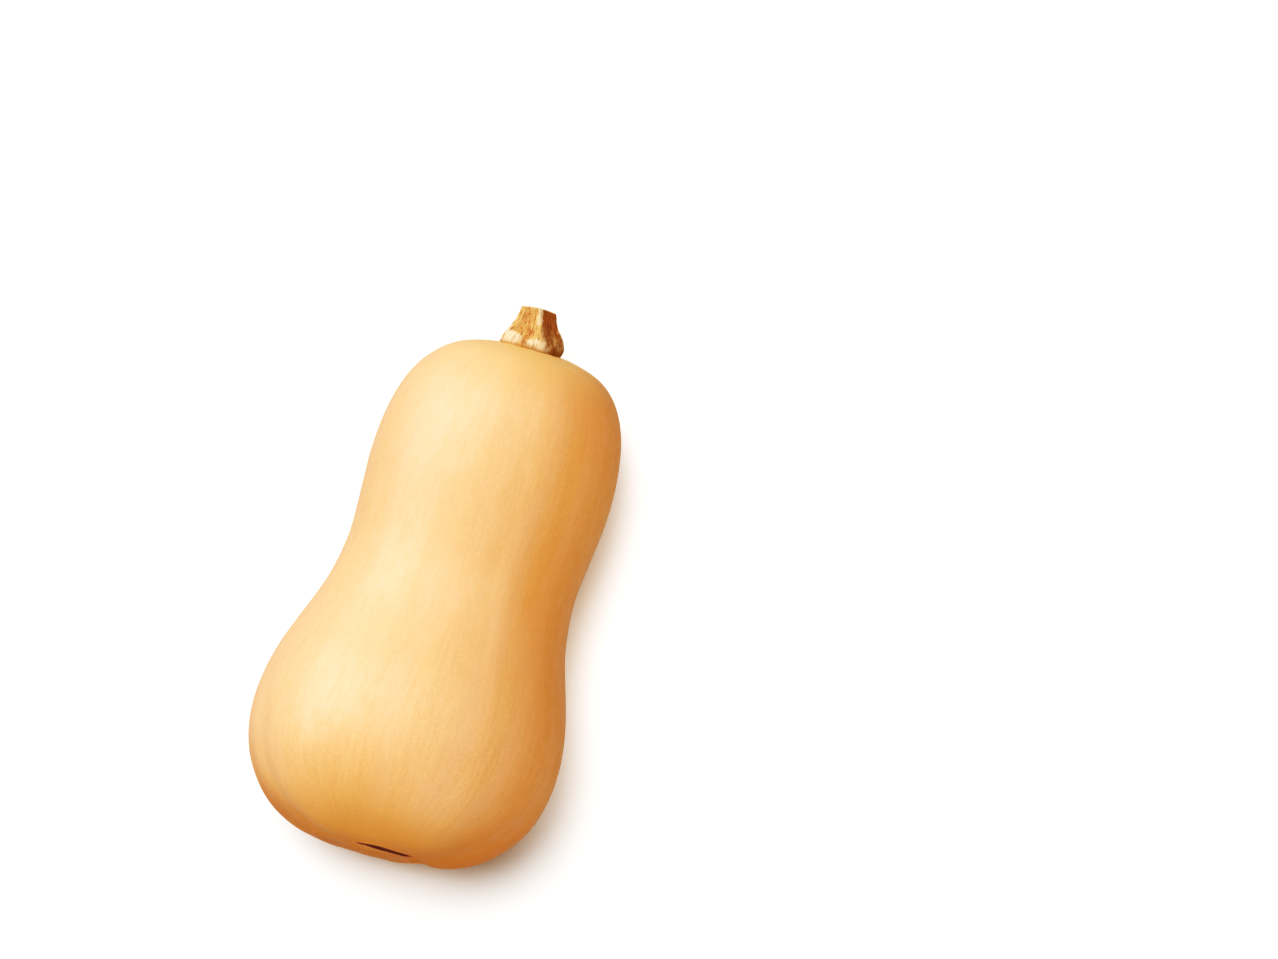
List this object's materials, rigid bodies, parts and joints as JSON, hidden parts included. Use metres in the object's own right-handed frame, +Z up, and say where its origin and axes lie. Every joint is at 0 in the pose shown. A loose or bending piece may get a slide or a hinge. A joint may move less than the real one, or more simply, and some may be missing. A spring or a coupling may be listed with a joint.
{
  "type": "butternut squash",
  "caption": "Whole butternut squash lying on its side, round bulb and long neck, with a dry ribbed stub of stem and a corky blossom scar.",
  "frame": {"origin": "middle of the floor plan of the whole squash, on the surface that it lies on", "axes": "+Y along the fruit towards the stem, +Z up, +X across"},
  "size_m": [0.1178, 0.2196, 0.1172],
  "materials": {
    "skin": "satin",
    "dry_stem": "matte"
  },
  "bodies": {
    "root": {"squash_body": "skin", "stem": "dry_stem"}
  },
  "joints": []
}
